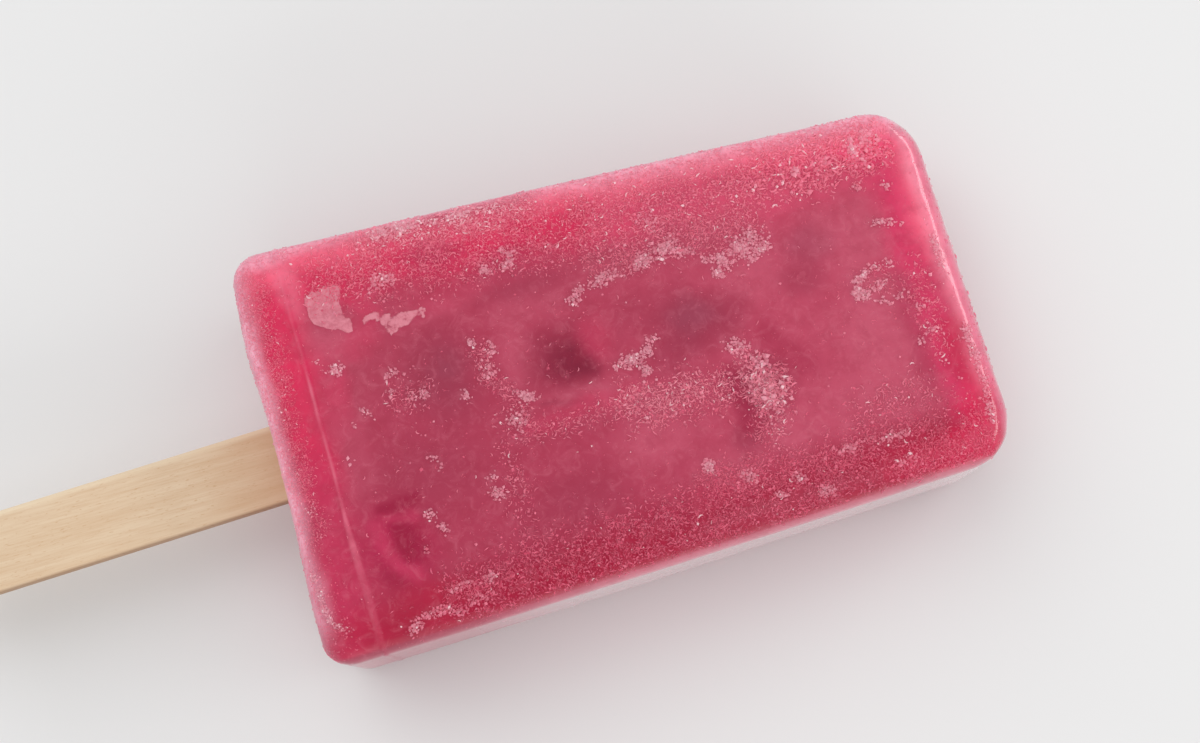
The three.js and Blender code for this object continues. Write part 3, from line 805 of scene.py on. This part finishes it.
def ice_material():
    n = Nodes("fruit_ice")
    color = puree_color(n)
    marks = fine_frost(n)
    crumbs = crumb_lace(n)
    flakes = solid_flakes(n)
    mark_share = n.times(marks, n.ramp(n.mask("pale"), 0.0, 1.0, 0.42, 0.7))
    flake_share = n.times(flakes, n.ramp(n.noise(0.9, 5.0, 0.7), 0.35, 0.65, 0.5, 0.95))
    color = n.mix(mark_share, color, n.mix(n.mask("pale"), FROST_RED, FROST_PINK))
    color = n.mix(n.times(crumbs, 0.55), color, CRUMB_PINK)
    color = n.mix(flake_share, color, FLAKE_PINK)
    frosty = n.math("MAXIMUM", n.math("MAXIMUM", marks, crumbs), flakes)
    wet = n.mask("wet")
    dry_rough = n.math("ADD", ICE_ROUGH, n.times(frosty, FROST_ROUGHER))
    fine = n.bump(n.noise(0.6, 4.0, roughness=0.6), 0.04, 0.3)
    n.set(Base_Color=color, Normal=n.bump(frosty, 0.12, 0.7, fine))
    n.set(Roughness=n.math("SUBTRACT", dry_rough, n.times(wet, WET_SMOOTHER)))
    n.set(Subsurface_Weight=0.2, Subsurface_Radius=(0.002, 0.0008, 0.001), Subsurface_Scale=1.0)
    n.set(IOR=1.33, Specular_IOR_Level=0.35, Sheen_Weight=0.35, Sheen_Roughness=0.3)
    n.set(Coat_Weight=n.math("ADD", DRY_COAT, n.times(wet, WET_COAT)))
    n.set(Coat_Roughness=0.1, Coat_IOR=1.6)
    return n.material


def crystal_material():
    n = Nodes("frost")
    color = n.mix(n.ramp(n.noise(0.3), 0.3, 0.7, 0.0, 0.3), n.mask("tone", "Color"), FROST_PINK)
    n.set(Base_Color=color, Roughness=n.ramp(n.noise(0.5), 0.3, 0.7, 0.15, 0.4))
    n.set(Subsurface_Weight=0.2, Subsurface_Radius=(0.001, 0.0004, 0.0005), Subsurface_Scale=1.0)
    n.set(IOR=1.31, Specular_IOR_Level=0.35)
    return n.material


# ---- The stick's wood

BIRCH = srgb("dcc4a6")
BIRCH_DARK = srgb("bf9469")
BIRCH_DAMP = srgb("c39c76")
# the stick's near edge darkened with painted shade and its far edge paler with painted light
BIRCH_SHADED_EDGE = srgb("87644a")
BIRCH_LIT_EDGE = srgb("ecdcc0")


def wood_material():
    n = Nodes("stick_wood")
    broad = n.noise(1.2, 3.0, place=n.stretched((14.0, 1.0, 1.0)))
    fibres = n.noise(0.22, 4.0, roughness=0.7, place=n.stretched((26.0, 1.0, 1.0)))
    flecks = n.noise(0.16, 2.0, place=n.stretched((5.0, 1.0, 1.0)))
    color = n.mix(n.ramp(broad, 0.35, 0.7, 0.0, 0.22), BIRCH, BIRCH_DARK)
    color = n.mix(n.ramp(fibres, 0.35, 0.75, 0.0, 0.34), color, BIRCH_DARK)
    color = n.mix(n.ramp(flecks, 0.62, 0.72, 0.0, 0.55), color, BIRCH_DARK)
    color = n.mix(n.times(n.mask("damp"), 0.6), color, BIRCH_DAMP)
    # painted light on the far edge and painted shade on the near one
    color = n.mix(n.times(n.mask("lit_edge"), 0.5), color, BIRCH_LIT_EDGE)
    color = n.mix(n.times(n.mask("edge"), 0.75), color, BIRCH_SHADED_EDGE)
    n.set(Base_Color=color, Roughness=n.ramp(broad, 0.3, 0.7, 0.55, 0.7))
    n.set(Normal=n.bump(fibres, 0.05, 0.5), IOR=1.45)
    return n.material


# ---- Crystals and curls, partly sunk in the surface

CRYSTAL_CORNERS = np.array([(1, 0, 0), (0, 1, 0), (-1, 0, 0), (0, -1, 0), (0, 0, 1), (0, 0, -1.0)])
CRYSTAL_FACES = np.array([(0, 1, 4), (1, 2, 4), (2, 3, 4), (3, 0, 4),
                          (1, 0, 5), (2, 1, 5), (3, 2, 5), (0, 3, 5)])
CRYSTAL_UNEVEN = 0.25
SIZE_LIMIT = 1.5  # of the sizes' random draws, in spreads


def scatter(rng, count, corners, weight):
    """Random places on the quads, as thick as the weight says: each one's quad, place and normal."""
    side, other = corners[:, 2] - corners[:, 0], corners[:, 3] - corners[:, 1]
    normals = np.cross(side, other)
    area = np.linalg.norm(normals, axis=1)
    share = area * weight
    chosen = rng.choice(len(corners), count, p=share / share.sum())
    u, v = rng.random((2, count, 1))
    quad = corners[chosen]
    low = (1 - u) * quad[:, 0] + u * quad[:, 1]
    high = (1 - u) * quad[:, 3] + u * quad[:, 2]
    return chosen, (1 - v) * low + v * high, normals[chosen] / area[chosen, None]


def unit(vectors):
    return vectors / np.linalg.norm(vectors, axis=1, keepdims=True)


def laid_down(rng, spots, shape, sizes, lean, sunk):
    """Shapes turned at random on the surface at their places. `sizes` are half lengths in mm."""
    place, normal = spots
    count = len(place)
    along = unit(np.cross(normal, rng.normal(size=(count, 3))))
    along = unit(along + lean * rng.normal(size=(count, 1)) * normal)
    across = unit(np.cross(normal, along))
    axes = np.stack([along, across, np.cross(along, across)], axis=1)
    return place[:, None] + shape @ axes + (0.5 - sunk) * sizes[:, None, 2:] * normal[:, None]


def crystals(rng, spots, sizes, lean, sunk):
    """Points and faces of eight-sided crystals at the places."""
    count = len(sizes)
    uneven = 1 + CRYSTAL_UNEVEN * rng.uniform(-1, 1, (count, 6, 3))
    shape = CRYSTAL_CORNERS[None] * uneven * sizes[:, None, :]
    points = laid_down(rng, spots, shape, sizes, lean, sunk)
    return points, CRYSTAL_FACES[None] + 6 * np.arange(count)[:, None, None]


CURL_RINGS = 3
CURL_BEND = (1.0, 3.4)  # how far a curl turns from end to end, in radians
CURL_FOOT = 0.3  # how deep its foot lies, as a share of its height


def curl_faces():
    """Faces of a curl: a point at each end and rings of three points between."""
    faces = []
    for n in range(3):
        after = (n + 1) % 3
        faces.append((0, 1 + after, 1 + n))
        for ring in range(1, 3 * CURL_RINGS - 3, 3):
            over = ring + 3
            faces += [(ring + n, ring + after, over + after), (ring + n, over + after, over + n)]
        last = 3 * CURL_RINGS - 2
        faces.append((last + n, last + after, last + 3))
    return np.array(faces)


def curls(rng, spots, sizes, lean, sunk):
    """Points and faces of short bent ridges of frost, pointed at both ends."""
    count = len(sizes)
    bend = rng.uniform(*CURL_BEND, (count, 1))
    half, width, height = sizes.T[:, :, None]
    share = np.linspace(-1, 1, CURL_RINGS + 2)[None]
    radius = 2 * half / bend
    angle = share * bend / 2
    x, y = radius * np.sin(angle), radius * (1 - np.cos(angle))
    full = np.sqrt(1 - share**2)
    corners = [np.stack([x + side * width * full * np.sin(angle),
                         y - side * width * full * np.cos(angle),
                         lift * height * full - CURL_FOOT * height], axis=2)
               for side, lift in ((-1, 0), (1, 0), (0, 1))]
    rings = np.stack(corners, axis=2)
    between = rings[:, 1:-1].reshape(count, -1, 3)
    shape = np.concatenate([rings[:, 0, :1], between, rings[:, -1, :1]], axis=1)
    points = laid_down(rng, spots, shape, sizes, lean, sunk)
    return points, curl_faces()[None] + shape.shape[1] * np.arange(count)[:, None, None]


# ---- Pieces

def dress_piece(piece, slot, *nodes):
    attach(piece, "root")
    if nodes:
        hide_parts(*nodes)


def build_bar():
    """The bar. Returns its points, quads, tone and masks in the mould's frame, and the shift."""
    smooth, quads = smooth_bar()
    normals = bar_normals(smooth)
    form = smooth + normals * form_rise(smooth)[:, None]
    shift = row_shift(form)
    masks = frost_masks(smooth)
    tone = puree_tone(smooth)
    points = form + normals * frost_rise(smooth, masks)[:, None]
    bar = mesh_object("fruit_bar", to_row(points, shift), quads.tolist())
    add_masks(bar, masks)
    add_tone(bar, tone)
    bar.data.materials.append(ice_material())
    dress_piece(bar, "fruit_ice", "ice_bar")
    return points, quads, tone, masks, shift


Kind = namedtuple("Kind", "name shape count weight half_sizes spread lean sunk paleness color")
KINDS = [
    Kind("frost_grains", crystals, 14000, lambda frost, crumb: frost**1.4,
         (0.11, 0.10, 0.08), 0.45, 0.5, 0.4, (0.1, 0.9), FROST_PINK),
    Kind("frost_needles", crystals, 8000, lambda frost, crumb: frost**1.6,
         (0.26, 0.05, 0.06), 0.4, 0.15, 0.2, (0.1, 0.95), FROST_PINK),
    Kind("frost_curls", curls, 11000, lambda frost, crumb: frost**1.5,
         (0.27, 0.06, 0.09), 0.35, 0.1, 0.2, (0.25, 1.0), FROST_PINK),
    Kind("frost_threads", curls, 11000, lambda frost, crumb: frost**1.5,
         (0.2, 0.045, 0.06), 0.3, 0.1, 0.2, (0.4, 1.0), FROST_PINK),
    Kind("frost_crumbs", crystals, 6500, lambda frost, crumb: crumb**2 + 0.001 * frost,
         (0.19, 0.13, 0.1), 0.4, 0.4, 0.3, (0.35, 1.0), CRUMB_PINK),
]
COARSE = [spot(74, 17.5, 10, 4), spot(82, 19, 3, 3), spot(59.8, -7.2, 3, 3.8)]
COARSER = 0.7  # how much larger the crystals are there
FINE = [stroke(9, 1, (2, 24), (1, -26))]
FINER = 0.4  # how much smaller they are there
FINE_THICKER = 0.5  # and how much thicker they lie
# painted glints: highlights put into the colour of a share of the whitest crystals
GLINT_SHARE = 0.2  # of the whitest ones
GLINT = 0.7
FROST_SEED = 2024


def frost_shades(rng, kind, tone, white):
    """A colour for each crystal, from the tone under it to white frost, with painted near-white glints
    of highlight on some of the whitest.
    """
    count = len(white)
    lit = mixed(filled(FROST_RED, white), kind.color, np.minimum(2 * white, 1))
    lit = mixed(lit, FROST_PALE, 0.7 * white**2)
    shade = mixed(tone, lit, rng.uniform(*kind.paleness, count) * (0.7 + 0.3 * white))
    return mixed(shade, GLINT_PINK, GLINT * (rng.random(count) < GLINT_SHARE * white**2))


def build_frost(points, quads, tone, masks, shift):
    """A piece for each kind of crystal, laid on the bar's quads where its weight says."""
    material = crystal_material()
    corners = points[quads]
    middles = corners.mean(axis=1)
    shown = off_back(middles) * (1 - near_side(middles, STRIP_REACH))
    fine = all_marks(middles, FINE)
    larger = 1 + COARSER * all_marks(middles, COARSE) - FINER * fine
    frost = masks["frost"][quads].mean(axis=1) * shown * (1 + FINE_THICKER * fine)
    crumb = masks["crumb"][quads].mean(axis=1) * shown
    white = np.maximum(masks["pale"][quads].mean(axis=1), crumb)
    quad_tone = tone[quads].mean(axis=1)
    rng = np.random.default_rng(FROST_SEED)
    for kind in KINDS:
        chosen, place, normal = scatter(rng, kind.count, corners, kind.weight(frost, crumb))
        spread = rng.normal(size=(kind.count, 1)).clip(-SIZE_LIMIT, SIZE_LIMIT)
        sizes = np.array(kind.half_sizes) * np.exp(kind.spread * spread) * larger[chosen, None]
        shades = frost_shades(rng, kind, quad_tone[chosen], white[chosen])
        places, faces = kind.shape(rng, (place, normal), sizes, kind.lean, kind.sunk)
        in_row = to_row(places.reshape(-1, 3), shift)
        piece = mesh_object(kind.name, in_row, faces.reshape(-1, 3).tolist(), smooth=False)
        add_tone(piece, np.repeat(shades, places.shape[1], axis=0))
        piece.data.materials.append(material)
        dress_piece(piece, "fruit_ice")


STICK_EDGE = 0.4  # the rounding of its edges
STICK_PITCH = 0.6
STICK_END_STEPS = 28
STICK_EDGE_STEPS = 6
STICK_FACE_RINGS = 8
STICK_GRAIN = 0.02
EDGE_BAND = 0.9  # how far in from its sides its edge looks different


def stick_rings():
    """Rings round the stick, from its middle line out to its sides below and in again above."""
    radius = STICK_WIDTH / 2
    reach = STICK_LENGTH / 2 - radius
    straight = np.arange(-reach, reach, STICK_PITCH)
    bend = np.linspace(-math.pi / 2, math.pi / 2, STICK_END_STEPS)
    end = np.full(STICK_END_STEPS, reach)
    quarter = np.full(len(straight), math.pi / 2)
    spine = np.concatenate([straight, end, -straight, -end])
    angle = np.concatenate([-quarter, bend, quarter, bend + math.pi])
    edge = np.linspace(0, math.pi / 2, STICK_EDGE_STEPS)
    face = np.linspace(STICK_EDGE, radius, STICK_FACE_RINGS + 1)[1:]
    inset = np.concatenate([STICK_EDGE * (1 - np.cos(edge)), face])
    height = np.concatenate([STICK_THICKNESS / 2 - STICK_EDGE + STICK_EDGE * np.sin(edge),
                             np.full(STICK_FACE_RINGS, STICK_THICKNESS / 2)])
    out = radius - np.concatenate([inset[::-1], inset])[:, None]
    level = np.concatenate([-height[::-1], height])[:, None]
    x = spine + out * np.cos(angle)
    return np.stack([x, out * np.sin(angle), np.broadcast_to(level, x.shape)], axis=2)


def joined_rings(rings):
    """The rings' points, those that coincide made one, and the faces between the rings."""
    count, around, _ = rings.shape
    i, j = np.meshgrid(np.arange(count - 1), np.arange(around), indexing="ij")
    after = (j + 1) % around
    quads = np.stack([i * around + j, i * around + after,
                      (i + 1) * around + after, (i + 1) * around + j], 2)
    points, index = np.unique(np.round(rings.reshape(-1, 3), 5), axis=0, return_inverse=True)
    index = index.reshape(-1)
    faces = [list(dict.fromkeys(index[quad].tolist())) for quad in quads.reshape(-1, 4)]
    return points, [face for face in faces if len(face) > 2]


def stick_masks(points):
    """Where the stick is damp from the ice, its near edge darker with painted shade and its far edge
    paler with painted light.
    """
    x, y, _ = points.T
    past_end = np.maximum(np.abs(x) - (STICK_LENGTH - STICK_WIDTH) / 2, 0)
    side = np.hypot(past_end, y) - (STICK_WIDTH / 2 - EDGE_BAND)
    into_bar = x - (STICK_OUTSIDE - STICK_LENGTH / 2)
    return {
        "damp": smoothstep(into_bar + 5 * noise(points, 6.0, 93), -14.0, 2.0),
        "edge": smoothstep(side, 0.5, EDGE_BAND) * smoothstep(-y, -1.5, 3.0),
        "lit_edge": smoothstep(side, 0.1, 0.5) * smoothstep(y, 0.0, 3.0),
    }


def build_stick(shift):
    points, faces = joined_rings(stick_rings())
    masks = stick_masks(points)
    fibre = noise(points * (0.15, 2.2, 2.2), 1.0, 91) + 0.5 * noise(points * (0.3, 5.0, 5.0), 1.0, 92)
    on_face = np.abs(points[:, 2]) > STICK_THICKNESS / 2 - 0.1
    points[:, 2] += np.sign(points[:, 2]) * STICK_GRAIN * fibre * on_face
    turn = np.array(Matrix.Rotation(STICK_SKEW, 3, "Z"))
    middle = (STICK_LENGTH / 2 - STICK_OUTSIDE, 0, 0)
    placed = (points + middle) @ turn.T + (0, STICK_OFFSET, 0)
    stick = mesh_object("wooden_stick", to_row(placed, shift), faces)
    add_masks(stick, masks)
    stick.data.materials.append(wood_material())
    dress_piece(stick, "stick_wood", "stick")


# ---- Floor, light and camera

FLOOR_HALF_SIZE = 5.0
FLOOR_GREY = srgb("e2e2e2")
LIT_POINT = (0.02, 0.0, 0.01)
LIGHTS = [
    # name, place, size in metres and power in watts
    ("key", (-0.25, 0.50, 0.70), (0.9, 0.9), 2.8),
    ("side_fill", (0.1, -0.70, 0.22), (0.9, 0.4), 2.2),
    ("tip_strip", (0.62, 0.05, 0.30), (0.7, 0.12), 1.05),
]
SKY_STRENGTH = 0.70


def build_floor():
    corners = FLOOR_HALF_SIZE * np.array([(-1, -1, 0), (1, -1, 0), (1, 1, 0), (-1, 1, 0)])
    floor = mesh_object("floor", corners, [(0, 1, 2, 3)])
    n = Nodes("floor_grey")
    n.set(Base_Color=FLOOR_GREY, Roughness=0.6)
    floor.data.materials.append(n.material)


def area_light(name, place, size, power):
    data = bpy.data.lights.new(name, "AREA")
    data.shape = "RECTANGLE"
    data.size, data.size_y = size
    data.energy = power
    light = bpy.data.objects.new(name, data)
    light.location = place
    light.rotation_euler = (Vector(LIT_POINT) - Vector(place)).to_track_quat("-Z", "Y").to_euler()
    bpy.context.scene.collection.objects.link(light)


def build_lights():
    for light in LIGHTS:
        area_light(*light)
    world = bpy.data.worlds.new("studio")
    world.use_nodes = True
    sky = world.node_tree.nodes["Background"].inputs
    sky["Color"].default_value = (1.0, 1.0, 1.0, 1.0)
    sky["Strength"].default_value = SKY_STRENGTH
    bpy.context.scene.world = world
    bpy.context.scene.view_settings.view_transform = "Standard"


def build_camera(shift):
    turn = (Matrix.Rotation(CAMERA_ROLL, 3, "Z")
            @ Matrix.Rotation(CAMERA_TILT, 3, "X")
            @ Matrix.Rotation(CAMERA_YAW - TAPER_TURN, 3, "Y"))
    middle = Vector(to_row(np.array([[LENGTH / 2, 0.0, 0.0]]), shift)[0])
    data = bpy.data.cameras.new("photo_camera")
    data.lens = CAMERA_LENS
    data.clip_start = 0.01
    camera = bpy.data.objects.new("photo_camera", data)
    facing = turn.transposed()
    place = middle - facing @ (CAMERA_SHIFT_MM / 1000)
    camera.matrix_world = Matrix.Translation(place) @ facing.to_4x4()
    bpy.context.scene.collection.objects.link(camera)
    bpy.context.scene.camera = camera


*bar_surface, bar_shift = build_bar()
build_frost(*bar_surface, bar_shift)
build_stick(bar_shift)
build_floor()
build_lights()
build_camera(bar_shift)
